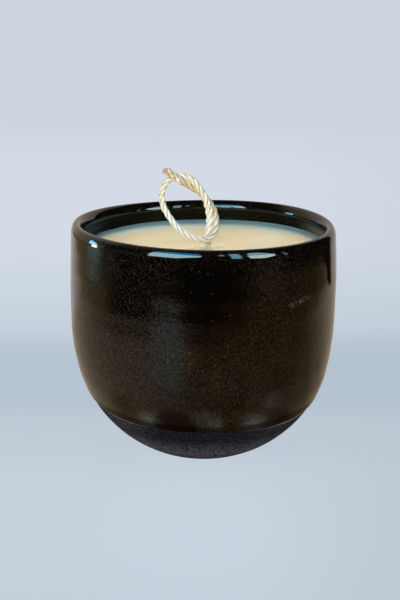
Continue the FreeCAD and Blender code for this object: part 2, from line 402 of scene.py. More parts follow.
def wax_surface(point):
    """The poured surface: a small mound round the wick, drips in front of it, slight
    unevenness, and a rise to the right."""
    point = lean(point)
    if point.z < WAX_LEVEL - 0.01 * MM:
        return point
    offset = point.xy - WICK_EXIT.xy
    near = max(0, 1 - max(0, offset.length - WICK_RADIUS) / MOUND_WIDTH)
    wave = noise.noise(Vector((point.x, point.y, 0)) * 70)
    calm = min(1, (WAX_CALM - point.xy.length) / (6 * MM))
    lift = MOUND_RISE * near ** 2 + WAX_UNEVEN * wave * max(0, calm)
    lift += WAX_TILT * smooth(point.x / (40 * MM))
    for x, y, radius, height in DRIPS:
        far = (offset - Vector((x, y)) * MM).length / (radius * MM)
        lift = max(lift, height * MM * math.sqrt(max(0, 1 - far ** 2)))
    return point + Vector((0, 0, lift))


def wax_pour():
    return lathe("wax_pour", wax_outline, wax_surface)


# ---- wick

def route_line():
    """Close points on the smooth line of the wick's route."""
    curve = bpy.data.curves.new("wick_route", "CURVE")
    curve.dimensions = "3D"
    curve.resolution_u = 16
    spline = curve.splines.new("NURBS")
    spline.points.add(len(WICK_ROUTE) - 1)
    for point, offset in zip(spline.points, WICK_ROUTE):
        point.co = (*(WICK_EXIT + Vector(offset) * MM), 1)
    spline.order_u = 3
    spline.use_endpoint_u = True
    holder = bpy.data.objects.new("wick_route", curve)
    dense = [v.co.copy() for v in bpy.data.meshes.new_from_object(holder).vertices]
    bpy.data.objects.remove(holder)
    return dense


def wick_line(step):
    """Evenly spaced points on the wick's line, and its length."""
    dense = route_line()
    reach = [0.0]
    for a, b in zip(dense, dense[1:]):
        reach.append(reach[-1] + (b - a).length)
    count = round(reach[-1] / step)
    points = []
    k = 0
    for i in range(count + 1):
        wanted = reach[-1] * i / count
        while k < len(dense) - 2 and reach[k + 1] < wanted:
            k += 1
        share = (wanted - reach[k]) / (reach[k + 1] - reach[k])
        points.append(dense[k].lerp(dense[k + 1], share))
    return points, reach[-1]


def frames(points):
    """(point, side, other side, ahead) along a line, with as little turning as can be."""
    ahead = [(b - a).normalized() for a, b in zip(points, points[1:])]
    ahead.append(ahead[-1])
    side = ahead[0].orthogonal().normalized()
    result = []
    for k, point in enumerate(points):
        if k:
            side = ahead[k - 1].rotation_difference(ahead[k]) @ side
        side = (side - ahead[k] * side.dot(ahead[k])).normalized()
        result.append((point, side, ahead[k].cross(side), ahead[k]))
    return result


class Tubes:
    """Collects tubes in one mesh, with two attributes for the fibre material: 'fibre', the
    way along and round each tube, and 'depth', from 0 in a crevice to 1 on the crown."""

    def __init__(self):
        self.verts, self.faces, self.fibre, self.depth = [], [], [], []

    def add(self, rings, depths, lane, reach=0.0):
        """rings: lists of points round the tube, one list for each place along it."""
        base = len(self.verts)
        width = len(rings[0])
        for k, ring in enumerate(rings):
            middle = sum(ring, Vector()) / width
            if k:
                reach += (middle - last).length
            last = middle
            for i, point in enumerate(ring):
                self.verts.append(point)
                self.fibre.append((reach, i / width, lane))
                self.depth.append(depths[k][i])
        for k in range(len(rings) - 1):
            for i in range(width):
                j = (i + 1) % width
                low = base + k * width
                self.faces.append((low + i, low + j, low + width + j, low + width + i))
        self.faces.append(tuple(base + i for i in reversed(range(width))))
        top = base + (len(rings) - 1) * width
        self.faces.append(tuple(top + i for i in range(width)))

    def build(self, name):
        mesh = new_mesh(name, self.verts, self.faces)
        keep(mesh, "fibre", [c for f in self.fibre for c in f], "FLOAT_VECTOR", "vector")
        keep(mesh, "depth", self.depth)
        return finish_mesh(mesh)


def around(side, other, angle):
    """Direction at an angle round a line, from its side towards its other side."""
    return side * math.cos(angle) + other * math.sin(angle)


def girth(reach):
    """How thick the rope is at a distance along it, as a share of its nominal size."""
    for (low, thin), (high, thick) in zip(GIRTH, GIRTH[1:]):
        if reach <= high * MM:
            return thin + (thick - thin) * (reach / MM - low) / (high - low)
    return GIRTH[-1][1]


def strand_line(path, step, strand):
    """The middle line of one strand, laid round the rope's line and cut a little short."""
    last = len(path) - round((CUT_BACK + CUT_STAGGER * strand) / step)
    centres = []
    for k, (point, side, other, _) in enumerate(path[:last]):
        angle = math.tau * (k * step / STRAND_PITCH + strand / STRANDS)
        lay = (WICK_RADIUS - STRAND_RADIUS) * girth(k * step)
        centres.append(point + around(side, other, angle) * lay)
    return centres


def strand_ring(centre, side, other, reach, strand):
    """The outline of one strand at one place: ridged by its yarns, slightly uneven."""
    size = STRAND_RADIUS * girth(reach)
    uneven = 0.05 * noise.noise(Vector((reach * 600, strand * 9, 0)))
    ring = []
    for i in range(STRAND_POINTS):
        angle = math.tau * i / STRAND_POINTS
        twist = angle - math.tau * reach / YARN_PITCH
        yarn = 0.035 * math.cos(YARN_RIDGES * twist)
        fuzz = 0.03 * noise.noise(Vector((reach * 2500, strand * 9, angle * 2)))
        radius = size * (1 + yarn + uneven + fuzz)
        ring.append(centre + around(side, other, angle) * radius)
    return ring


def rope_wick():
    """Three laid strands of waxed yarn, cut off nearly square, their yarns a little loose."""
    random.seed(7)
    points, length = wick_line(ROPE_STEP)
    path = frames(points)
    step = length / (len(path) - 1)
    tubes = Tubes()
    for strand in range(STRANDS):
        centres = strand_line(path, step, strand)
        rings, depths = [], []
        for k, (centre, side, other, _) in enumerate(frames(centres)):
            ring = strand_ring(centre, side, other, k * step, strand)
            full = WICK_RADIUS * girth(k * step)
            rings.append(ring)
            depths.append([((v - points[k]).length / full - CREVICE) / (1 - CREVICE)
                           for v in ring])
        tubes.add(rings, depths, strand)
        loose_yarns(tubes, centres[-6], centres[-1], strand)
    return tubes.build("rope_wick"), points, length


def loose_yarns(tubes, before, end, strand):
    """The yarns of one strand past its cut, hardly spread."""
    ahead = (end - before).normalized()
    ahead = (ahead - Vector(YARN_DROOP)).normalized()
    side = ahead.orthogonal().normalized()
    across = ahead.cross(side)
    for yarn in range(LOOSE_YARNS):
        angle = math.tau * yarn / LOOSE_YARNS
        lean_out = around(side, across, angle) * YARN_SPREAD
        root = end - ahead * CUT_BACK + lean_out
        reach = YARN_LENGTH + YARN_EXTRA * random.random()
        drift = lean_out * (0.3 + 1.1 * random.random())
        line = [root + ahead * reach * t + drift * t * t for t in (0, 0.3, 0.6, 0.8, 1)]
        rings = []
        for k, (centre, one, other, _) in enumerate(frames(line)):
            radius = YARN_RADIUS * (1 - 0.1 * k)
            centre.z = min(centre.z, TIP_TOP)
            rings.append([centre + around(one, other, math.tau * i / 6) * radius
                          for i in range(6)])
        depths = [[0.25 + 0.08 * k] * 6 for k in range(5)]
        tubes.add(rings, depths, STRANDS + strand + yarn / LOOSE_YARNS, 95 * MM)


# ---- materials

class Graph:
    """A node material, built a node at a time. A point's place is on the object itself, and
    its spot is in the scene."""

    def __init__(self, name):
        self.material = bpy.data.materials.new(name)
        self.material.use_nodes = True
        self.tree = self.material.node_tree
        self.tree.nodes.clear()
        self.place = self.add("TexCoord").outputs["Object"]
        self.spot = self.add("NewGeometry").outputs["Position"]

    def add(self, kind, inputs=(), **settings):
        node = self.tree.nodes.new("ShaderNode" + kind)
        for name, value in settings.items():
            setattr(node, name, value)
        for name, value in dict(inputs).items():
            self.feed(node.inputs[name], value)
        return node

    def feed(self, socket, value):
        if isinstance(value, bpy.types.NodeSocket):
            self.tree.links.new(value, socket)
        else:
            socket.default_value = value

    def noise(self, size, detail=2, stretch=(1, 1, 1), of=None):
        """Noise with grains of about size metres, stretched along an axis where asked."""
        scale = [1 / (size * s) for s in stretch]
        vector = self.add("Mapping", {"Vector": of or self.place, "Scale": scale})
        texture = self.add("TexNoise", {"Vector": vector.outputs[0], "Scale": 1,
                                        "Detail": detail})
        return texture.outputs["Fac"]

    def spots(self, size, reach):
        """1 in the middle of scattered spots, 0 from reach (a share of size) outwards."""
        vector = self.add("Mapping", {"Vector": self.place, "Scale": [1 / size] * 3})
        cells = self.add("TexVoronoi", {"Vector": vector.outputs[0], "Scale": 1})
        return self.span(cells.outputs["Distance"], reach, 0)

    def span(self, value, low, high, to_low=0.0, to_high=1.0):
        """Map low..high to to_low..to_high, smoothly and without going past."""
        node = self.add("MapRange", {"Value": value, "From Min": low, "From Max": high,
                                     "To Min": to_low, "To Max": to_high},
                        interpolation_type="SMOOTHSTEP")
        return node.outputs["Result"]

    def do(self, kind, a, b):
        """One step of arithmetic."""
        node = self.add("Math", operation=kind)
        self.feed(node.inputs[0], a)
        self.feed(node.inputs[1], b)
        return node.outputs[0]

    def product(self, first, *others):
        for other in others:
            first = self.do("MULTIPLY", first, other)
        return first

    def size_of(self, value):
        """The value without its sign."""
        return self.do("ABSOLUTE", value, 0.0)

    def mix(self, share, a, b, blend="MIX"):
        node = self.add("Mix", data_type="RGBA", blend_type=blend)
        self.feed(node.inputs[0], share)
        for index, colour in ((6, a), (7, b)):
            if not isinstance(colour, bpy.types.NodeSocket):
                colour = (*colour, 1)
            self.feed(node.inputs[index], colour)
        return node.outputs[2]

    def near(self, centre, radius):
        """1 at a point of the scene, 0 from radius outwards."""
        far = self.add("VectorMath", {0: self.spot, 1: tuple(centre)}, operation="DISTANCE")
        return self.span(far.outputs["Value"], radius, 0)

    def reach(self, of=None):
        """Distance of the place, or of another vector, from the jar's axis."""
        flat = self.add("VectorMath", {0: of or self.place, 1: (1, 1, 0)},
                        operation="MULTIPLY")
        flat = self.add("VectorMath", {0: flat.outputs[0]}, operation="LENGTH")
        return flat.outputs["Value"]

    def axis(self, name, of=None):
        """One coordinate of the place, or of another vector."""
        return self.add("SeparateXYZ", {"Vector": of or self.place}).outputs[name]

    def bump(self, height, depth, under=None):
        inputs = {"Height": height, "Distance": depth, "Strength": 1}
        if under:
            inputs["Normal"] = under
        return self.add("Bump", inputs).outputs["Normal"]

    def surface(self, **inputs):
        """Principled surface; names take spaces for underscores."""
        named = {key.replace("_", " "): value for key, value in inputs.items()}
        shader = self.add("BsdfPrincipled", named)
        return self.out(shader.outputs[0])

    def out(self, shader):
        self.add("OutputMaterial", {"Surface": shader})
        return self.material


# Places on the glaze: where it has flowed out smooth, where it is thick and deep black in
# front and at the left, a dark stain low in front, and a scuff that climbs to the right
SMOOTH_PLACE = Vector((44, -12, 68)) * MM
BLACK_PLACE = Vector((1, -46, 67)) * MM
SIDE_BLACK = Vector((-34, -32, 69)) * MM
STAIN_PLACE = Vector((-8.5, -39.5, 24)) * MM
SCUFF_PLACE = Vector((31, -36, 64.2)) * MM
SCUFF_SLOPE = 0.25


def coat_colour(g, above, fleck):
    """Black with pale specks and brown flecks, which are fainter where it is thick. It turns
    brown where it runs thin, over the crest of the lip and just above the glaze line."""
    cloud = g.noise(14 * MM, 3)
    colour = g.mix(g.span(cloud, 0.35, 0.7), (0.0006, 0.0004, 0.0003), (0.0015, 0.001, 0.0006))
    speck = g.spots(1.9 * MM, 0.13)
    colour = g.mix(g.product(speck, 0.5), colour, (0.16, 0.14, 0.10))
    thin = g.do("MAXIMUM", g.span(g.axis("Z"), 82.2 * MM, 83.0 * MM),
                g.span(above, 0.9 * MM, 0.2 * MM, 0.0, 0.35))
    thin = g.product(thin, g.span(g.noise(2.5 * MM), 0.2, 0.6, 0.35, 0.9))
    colour = g.mix(thin, colour, (0.034, 0.018, 0.009))
    flecked = g.product(fleck, g.span(g.near(BLACK_PLACE, 24 * MM), 0.1, 0.7, 0.8, 0.1),
                        g.span(g.near(SIDE_BLACK, 14 * MM), 0.1, 0.6, 1.0, 0.25))
    return g.mix(flecked, colour, (0.036, 0.0235, 0.013))


def scuffed(g, colour):
    """Broken pale rubs along a short slanting line."""
    along = g.product(g.do("SUBTRACT", g.axis("X"), SCUFF_PLACE.x), SCUFF_SLOPE)
    off = g.do("SUBTRACT", g.do("SUBTRACT", g.axis("Z"), SCUFF_PLACE.z), along)
    scuff = g.product(g.span(g.size_of(off), 1.2 * MM, 0.3 * MM),
                      g.span(g.near(SCUFF_PLACE, 6.5 * MM), 0.0, 0.4),
                      g.span(g.noise(0.5 * MM, 1), 0.5, 0.62))
    return g.mix(scuff, colour, (0.07, 0.062, 0.05))


def painted_bead_highlight(g, above, colour):
    """A painted highlight along the bead at the glaze line: a pale line at both sides of the
    jar, paler at the right."""
    flank = g.span(g.size_of(g.axis("X")), 14 * MM, 28 * MM)
    edge = g.product(flank, g.span(above, 0.65 * MM, 0.3 * MM, 0, 0.9),
                     g.span(g.axis("Z"), 40 * MM, 38 * MM))
    painted_light_colour = g.mix(g.span(g.axis("X"), -5 * MM, 5 * MM), (0.17, 0.14, 0.12), (0.32, 0.26, 0.23))
    return g.mix(edge, colour, painted_light_colour)


def painted_wall_light(g, lining, colour):
    """Painted light: the inner wall is made paler at the left and right, standing in for the
    wax's reflection and side light there, and this fades out under the lip.
    """
    height = g.axis("Z")
    side = g.do("MAXIMUM", g.span(g.axis("X"), 34 * MM, 43 * MM),
                g.span(g.axis("X"), -34 * MM, -43 * MM, 0.0, 0.7))
    glow = g.product(lining, side, side, g.span(height, 60 * MM, 62 * MM),
                     g.span(height, 79.2 * MM, 77.2 * MM, 0.1, 1.0))
    return g.mix(glow, colour, (0.15, 0.13, 0.08))


def glaze_material():
    """Near-black tenmoku: glossy and finely pitted outside, with a dull olive-black lining.
    The mask of the lining also takes in the bowl, wherever it is as narrow."""
    g = Graph("black_glaze")
    above = g.add("Attribute", attribute_name="above_line").outputs["Fac"]
    fleck = g.span(g.noise(0.38 * MM, 1), 0.56, 0.66)
    lining = g.product(g.span(g.reach(), 43.9 * MM, 43.2 * MM),
                       g.span(g.axis("Z"), 79.7 * MM, 79.0 * MM))
    stain = g.span(g.near(STAIN_PLACE, 12 * MM), 0.1, 0.45, 0, 0.9)
    colour = scuffed(g, coat_colour(g, above, fleck))
    colour = g.mix(lining, colour, (0.0045, 0.0030, 0.0004))
    colour = g.mix(g.product(lining, fleck), colour, (0.030, 0.021, 0.008))
    # painted highlight along the bead at the glaze line
    colour = painted_bead_highlight(g, above, colour)
    colour = g.mix(stain, colour, (0.004, 0.0010, 0.0005))
    # painted light on the inner wall at the left and right
    colour = painted_wall_light(g, lining, colour)

    grain = g.noise(0.75 * MM, 2)
    rough = g.product(g.span(g.axis("Z"), 79 * MM, 76 * MM, 0.06, 1.0),
                      g.span(g.near(SMOOTH_PLACE, 26 * MM), 0.0, 0.7, 1.0, 0.04))
    normal = g.bump(g.product(grain, rough), 0.05 * MM)
    normal = g.bump(g.product(g.noise(4 * MM, 1), rough), 0.03 * MM, normal)
    pits = g.product(g.span(g.noise(0.6 * MM, 1), 0.3, 0.7, -0.27, 0.27), rough)
    shine = g.product(g.do("SUBTRACT", 1.0, g.product(lining, 0.9)),
                      g.do("SUBTRACT", 1.0, g.product(stain, 0.7)), g.do("ADD", pits, 0.5))
    return g.surface(Base_Color=colour, Roughness=g.span(grain, 0.3, 0.8, 0.04, 0.08),
                     Normal=normal, IOR=1.5, Specular_IOR_Level=shine)


def clay_material():
    """Bare charcoal stoneware: matt, grogged, with faint turning lines. Painted shade darkens
    it under the glaze's bead, and painted light makes it paler towards the foot and at the
    sides."""
    g = Graph("bare_clay")
    grain = g.noise(0.58 * MM, 2)
    lines = g.noise(0.9 * MM, 2, (40, 40, 1))
    grit = g.span(grain, 0.42, 0.58)
    # painted shade: the dark colour under the glaze's bead; painted light: the paler colour
    # towards the foot and at the sides
    dark = g.mix(grit, (0.0, 0.0, 0.0), (0.013, 0.011, 0.015))
    painted_light_colour = g.mix(grit, (0.006, 0.005, 0.008), (0.125, 0.110, 0.128))
    flank = g.span(g.size_of(g.axis("X")), 12 * MM, 30 * MM, 0.0, 0.35)
    share = g.do("MAXIMUM", g.span(g.axis("Z"), 17.5 * MM, 8 * MM), flank)
    colour = g.mix(share, dark, painted_light_colour)
    grog = g.spots(1.3 * MM, 0.15)
    colour = g.mix(g.product(grog, 0.4), colour, (0.14, 0.13, 0.13))
    colour = g.mix(g.span(lines, 0.5, 0.8, 0, 0.5), colour, (0.008, 0.008, 0.010))
    normal = g.bump(lines, 0.06 * MM)
    normal = g.bump(grain, 0.16 * MM, normal)
    return g.surface(Base_Color=colour, Roughness=g.span(grain, 0.2, 0.8, 0.95, 0.8),
                     Normal=normal, Specular_IOR_Level=0.12)


def wax_material():
    """Poured soy wax: creamy, slightly translucent, with faint frosting. Painted light and
    shade: it is cooler towards the back where the rim shades it, blue-green near the wall as
    painted shade, and pale on the mound and drips as a painted highlight; these are glossy too."""
    g = Graph("cream_wax")
    cloud = g.noise(9 * MM, 3)
    fine = g.noise(0.8 * MM, 2)
    colour = g.mix(g.span(cloud, 0.3, 0.7), (0.83, 0.70, 0.46), (0.87, 0.75, 0.52))
    colour = g.mix(g.span(fine, 0.55, 0.75, 0, 0.15), colour, (0.90, 0.80, 0.62))
    # painted cool light towards the back, in the shade of the back rim
    back = g.product(g.span(g.axis("Y"), 4 * MM, 22 * MM),
                     g.span(g.reach(), 25 * MM, 35 * MM, 0, 0.85))
    colour = g.mix(back, colour, (0.80, 0.87, 0.70))
    # painted shade: dark blue-green near the wall
    wall = g.span(g.reach(), 36 * MM, 44.5 * MM, 0, 0.8)
    colour = g.mix(wall, colour, (0.117, 0.285, 0.31))
    # the mound and drips are glossy; their pale colour is a painted highlight
    wet_and_painted_highlight = g.product(g.span(g.axis("Z"), WAX_LEVEL + 0.2 * MM, WAX_LEVEL + 0.5 * MM),
                    g.span(g.reach(), 20 * MM, 12 * MM))
    colour = g.mix(wet_and_painted_highlight, colour, (0.93, 0.91, 0.84))
    normal = g.bump(fine, 0.01 * MM)
    return g.surface(Base_Color=colour, Roughness=g.span(cloud, 0.3, 0.7, 0.30, 0.42),
                     Normal=normal, Coat_Weight=wet_and_painted_highlight, Coat_Roughness=0.05,
                     Subsurface_Weight=0.25, Subsurface_Radius=(1.0, 0.6, 0.3),
                     Subsurface_Scale=1.5 * MM)


def strand_material():
    """Waxed cotton: glossy cream crowns and thin amber crevices, darker there as painted shade.
    The crowns are made white by painted light in the first rise of the wick and where its
    ring is lowest; they are golden past the ring, and right at the wax as painted shade."""
    g = Graph("waxed_cotton")
    fibre = g.add("Attribute", attribute_name="fibre").outputs["Vector"]
    depth = g.add("Attribute", attribute_name="depth").outputs["Fac"]
    reach = g.axis("X", fibre)
    hair = g.noise(1.0, 3, (1.4 * MM, 0.06, 0.1), of=fibre)
    patch = g.noise(2.2 * MM, 3)
    golden = g.product(g.span(reach, 66 * MM, 84 * MM, 0.22, 0.9), g.span(patch, 0.3, 0.55))
    # painted shade: golden where the wick leaves the wax
    golden = g.do("MAXIMUM", golden, g.span(reach, 4.5 * MM, 2.5 * MM, 0.0, 0.8))
    crown = g.mix(g.span(hair, 0.3, 0.65), (0.72, 0.61, 0.40), (0.93, 0.87, 0.71))
    from_low = g.size_of(g.do("SUBTRACT", reach, 56 * MM))
    # painted light: white crowns in the first rise and where the ring is lowest
    white = g.do("MAXIMUM", g.span(reach, 17 * MM, 10 * MM), g.span(from_low, 13 * MM, 6 * MM))
    painted_lit_crown = g.mix(g.span(hair, 0.3, 0.6), (0.86, 0.79, 0.62), (1.0, 0.98, 0.90))
    crown = g.mix(white, crown, painted_lit_crown)
    crown = g.mix(golden, crown, (0.58, 0.42, 0.19))
    # painted shade: darker amber in the crevices
    amber = g.mix(g.span(patch, 0.4, 0.65), (0.34, 0.16, 0.04), (0.52, 0.30, 0.10))
    edge = g.do("ADD", depth, g.span(hair, 0.2, 0.8, -0.08, 0.08))
    colour = g.mix(g.span(edge, 0.16, 0.58), amber, crown)
    normal = g.bump(hair, 0.05 * MM)
    return g.surface(Base_Color=colour, Roughness=g.span(hair, 0.3, 0.7, 0.38, 0.25),
                     Normal=normal, Subsurface_Weight=0.2,
                     Subsurface_Radius=(1.0, 0.8, 0.5), Subsurface_Scale=0.4 * MM)


def stem_material():
    """Waxed cotton inside the candle."""
    g = Graph("wick_cotton")
    plait = g.noise(0.6 * MM, 2, (1, 1, 3))
    colour = g.mix(g.span(plait, 0.35, 0.65), (0.62, 0.50, 0.30), (0.85, 0.78, 0.60))
    return g.surface(Base_Color=colour, Roughness=0.6, Normal=g.bump(plait, 0.08 * MM))


def steel_material():
    """Tinplate of the tab, with the rolling marks of the sheet."""
    g = Graph("pressed_tinplate")
    brushed = g.noise(0.3 * MM, 3, (1, 12, 1))
    return g.surface(Base_Color=(0.72, 0.72, 0.70, 1), Metallic=1.0,
                     Roughness=g.span(brushed, 0.3, 0.7, 0.25, 0.42),
                     Normal=g.bump(brushed, 0.006 * MM))


def foam_material():
    """White foam of the sticker."""
    g = Graph("white_foam")
    cells = g.noise(0.25 * MM, 2)
    colour = g.mix(g.span(cells, 0.3, 0.7), (0.66, 0.65, 0.62), (0.86, 0.85, 0.82))
    return g.surface(Base_Color=colour, Roughness=0.9, Normal=g.bump(cells, 0.05 * MM))


# ---- stage

def stage_face(name, corners, material):
    """One flat face of the stage."""
    mesh = new_mesh(name, corners, [tuple(range(len(corners)))])
    mesh.materials.append(material)
    thing = put(name, mesh)
    return thing


def glow(name, colour):
    """An even light of a colour, whose levels may be above 1."""
    g = Graph(name)
    full = max(colour)
    even = [c / full for c in colour]
    return g.out(g.add("Emission", {"Color": (*even, 1), "Strength": full}).outputs[0])


def direction(azimuth, elevation):
    """Azimuth in degrees from +Y towards +X, elevation up from level."""
    a, e = math.radians(azimuth), math.radians(elevation)
    return Vector((math.sin(a) * math.cos(e), math.cos(a) * math.cos(e), math.sin(e)))


def pane(name, seen_from, far, corners, colour):
    """A part of the room, bright or dim, seen only in reflections."""
    places = [Vector(seen_from) + direction(*corner) * far for corner in corners]
    thing = stage_face(name, places, glow(name, colour))
    for ray in ("camera", "diffuse", "transmission", "shadow"):
        setattr(thing, "visible_" + ray, False)


def srgb(*levels):
    """Linear colour of screen levels from 0 to 255."""
    return tuple(((v / 255 + 0.055) / 1.055) ** 2.4 for v in levels)


FLOOR_CORNERS = [(-4, -4, 0), (4, -4, 0), (4, 4, 0), (-4, 4, 0)]
FLOOR_MIDDLE = (0, 3.0, 0)
FLOOR_ALBEDO = 0.04                 # the small part of the floor's colour that takes shadow
FAR_COLOUR = srgb(205, 211, 223)
# How the floor's colour drifts from the front backwards: distance in metres, screen colour
FLOOR_DRIFT = [(-0.04, (196, 206, 216)), (0.0, (190, 201, 213)), (0.035, (180, 193, 207)),
               (0.075, (180, 193, 207)), (0.14, (197, 208, 220)), (0.22, (204, 214, 225)),
               (0.34, (210, 217, 229)), (0.6, (210, 217, 229)), (1.6, (203, 209, 221))]
COOL_TINT = (0.30, 0.36, 0.42)
BOUNCE_TINT = srgb(204, 215, 225)   # painted light: the floor made paler right in front of the jar, lifting the jar's shadow
BOUNCE_PLACE = (-0.005, -0.06, 0)

# Patches of the table that the glaze mirrors: place, reach and colour, in metres
PALE = (0.42, 0.41, 0.32)
SHADE = (0.08, 0.04, 0.02)
PATCHES = [
    ((-0.031, -0.042), 0.013, (1.1, 1.12, 1.0)), ((0.0, -0.062), 0.017, PALE),
    ((0.008, -0.053), 0.010, (0.66, 0.67, 0.57)), ((0.029, -0.043), 0.013, (1.0, 1.02, 0.92)),
    ((0.056, -0.050), 0.016, PALE), ((-0.012, -0.043), 0.018, (0.03, 0.012, 0.006)),
    ((0.016, -0.053), 0.007, SHADE), ((0.045, -0.027), 0.014, SHADE),
    ((-0.056, -0.033), 0.024, (0.24, 0.16, 0.09)), ((0.09, -0.05), 0.03, (0.14, 0.09, 0.03)),
    ((0.41, -0.31), 0.19, (0.25, 0.20, 0.11)), ((-0.022, -0.021), 0.009, (0.8, 0.8, 0.75)),
    ((0.020, -0.037), 0.009, (0.75, 0.74, 0.66)),
    ((-0.43, 0.075), 0.12, (0.50, 0.72, 0.72)), ((-0.52, 0.08), 0.14, (0.56, 0.80, 0.80)),
]


def drift(g, y):
    """The floor's colour from the front backwards."""
    first, last = FLOOR_DRIFT[0][0], FLOOR_DRIFT[-1][0]
    depth = g.add("MapRange", {"Value": y, "From Min": first, "From Max": last}).outputs[0]
    ramp = g.add("ValToRGB", {"Fac": depth})
    ramp.color_ramp.interpolation = "EASE"
    elements = ramp.color_ramp.elements
    while len(elements) < len(FLOOR_DRIFT):
        elements.new(1)
    for element, (place, colour) in zip(elements, FLOOR_DRIFT):
        element.position = (place - first) / (last - first)
        element.color = (*srgb(*colour), 1)
    return ramp.outputs[0]


def seen_floor(g):
    """The floor as the camera sees it: even light, cooler to the right, with the object's
    soft shadow, which painted light lifts right in front of the jar."""
    x, y = g.axis("X", g.spot), g.axis("Y", g.spot)
    aside = g.do("DIVIDE", x, g.do("MAXIMUM", g.do("ADD", y, -CAMERA_PLACE.y), 0.05))
    cool = g.product(g.span(aside, 0.06, 0.26), g.span(y, 0.02, -0.06, 0.08, 0.16),
                     g.span(y, 2.5, 0.6))
    colour = g.mix(cool, drift(g, y), COOL_TINT)
    # painted light right in front of the jar, lifting its shadow
    colour = g.mix(g.product(g.near(BOUNCE_PLACE, 0.08), 0.6), colour, BOUNCE_TINT)
    colour = g.mix(1.0, colour, (FLOOR_ALBEDO * 0.6,) * 3, "SUBTRACT")
    even = g.add("Emission", {"Color": colour, "Strength": 1.0}).outputs[0]
    shaded = g.add("BsdfDiffuse", {"Color": (*(FLOOR_ALBEDO,) * 3, 1)}).outputs[0]
    return g.add("AddShader", {0: even, 1: shaded}).outputs[0]


def brown_table(g, reach):
    """Mottled brown, redder further off."""
    far = g.span(reach, 0.12, 0.20)
    low = g.mix(far, (0.14, 0.085, 0.030), (0.12, 0.055, 0.010))
    high = g.mix(far, (0.27, 0.185, 0.092), (0.24, 0.130, 0.042))
    return g.mix(g.span(g.noise(30 * MM, 3), 0.3, 0.7), low, high)


def paler_table(g, x, y, sides, colour):
    """Paler to the left, and behind apart from the far right; palest behind on the left."""
    left = g.product(g.span(x, 0.01, -0.08), g.span(x, -0.30, -0.16, 0.3, 1))
    colour = g.mix(left, colour, (0.47, 0.37, 0.25))
    behind = g.product(g.span(y, -0.06, 0.10), g.do("SUBTRACT", 1.0, sides))
    pale = g.mix(g.span(y, 0.10, 0.30), (0.54, 0.43, 0.32), (0.64, 0.57, 0.52))
    colour = g.mix(behind, colour, pale)
    grey = g.product(g.span(x, -0.08, -0.14, 0, 0.8), g.span(y, 0.10, 0.15))
    return g.mix(grey, colour, (0.78, 0.72, 0.68))


def far_left_table(g, x, y, reach, colour):
    """Olive past a slanting line, and dim further off in front of that."""
    line = g.do("ADD", x, g.product(y, 0.46))
    past = g.do("ADD", g.span(line, -0.175, -0.180, 0, 0.6), g.span(line, -0.18, -0.26, 0, 0.4))
    colour = g.mix(g.product(past, g.span(reach, 0.23, 0.29)), colour, (0.34, 0.25, 0.11))
    dim = g.product(g.span(reach, 0.33, 0.38), g.span(y, 0.035, 0.0),
                    g.span(x, -0.2, -0.3, 0, 0.85))
    return g.mix(dim, colour, (0.07, 0.08, 0.065))


def table_edges(g, x, y, reach, turn, band, colour):
    """Black past the edge in front and further off at the right, hazy at the far left."""
    start = g.span(turn, 0.42, 0.85, 0.43, 0.25)
    right = g.product(g.span(g.do("SUBTRACT", reach, start), 0.0, 0.03),
                      g.span(turn, 1.0, 0.93), g.span(x, 0.1, 0.2))
    reach = g.do("SUBTRACT", reach, g.product(g.do("MAXIMUM", x, 0.0), 0.6))
    reach = g.do("SUBTRACT", reach, g.product(band, 0.08))
    front = g.product(g.span(reach, 0.18, 0.27),
                      g.span(g.do("SUBTRACT", y, g.product(x, 0.15)), 0.02, -0.05))
    haze = g.product(g.span(x, -0.30, -0.40), g.span(y, -0.2, -0.05))
    black = g.mix(haze, (0.012, 0.008, 0.005), (0.14, 0.145, 0.13))
    return g.mix(g.do("MAXIMUM", front, right), colour, black)


def reflected_floor(g):
    """The table as the glaze mirrors it: brown, paler to the left and behind, dark at the far
    right, with a grey band in front on the left, dark edges, and patches near the jar."""
    x, y, reach = g.axis("X", g.spot), g.axis("Y", g.spot), g.reach(g.spot)
    turn = g.do("DIVIDE", y, g.do("MAXIMUM", g.do("SUBTRACT", x, 0.04), 0.01))
    sides = g.product(g.span(x, 0.20, 0.30), g.span(turn, 1.5, 0.0))
    colour = paler_table(g, x, y, sides, brown_table(g, reach))
    colour = far_left_table(g, x, y, reach, colour)
    colour = g.mix(g.product(sides, 0.5), colour, (0.06, 0.035, 0.012))
    slope = g.do("DIVIDE", x, g.do("MINIMUM", y, -0.02))
    band = g.product(g.span(slope, 0.15, 0.4), g.span(slope, 0.95, 0.6),
                     g.span(y, -0.06, -0.12))
    colour = g.mix(band, colour, (0.44, 0.48, 0.46))
    colour = table_edges(g, x, y, reach, turn, band, colour)
    for place, radius, shade in PATCHES:
        colour = g.mix(g.near((*place, 0), radius), colour, shade)
    return g.add("Emission", {"Color": colour, "Strength": 1.0}).outputs[0]


def floor_material():
    """One look for the camera, another in mirrors, and a plain grey that lights the jar."""
    g = Graph("pale_floor")
    light = g.add("LightPath").outputs
    lit = g.add("BsdfDiffuse", {"Color": (0.50, 0.50, 0.50, 1)}).outputs[0]
    shader = g.add("MixShader", {0: light["Is Camera Ray"], 1: lit, 2: seen_floor(g)})
    shader = g.add("MixShader", {0: light["Is Glossy Ray"], 1: shader.outputs[0],
                                 2: reflected_floor(g)})
    return g.out(shader.outputs[0])


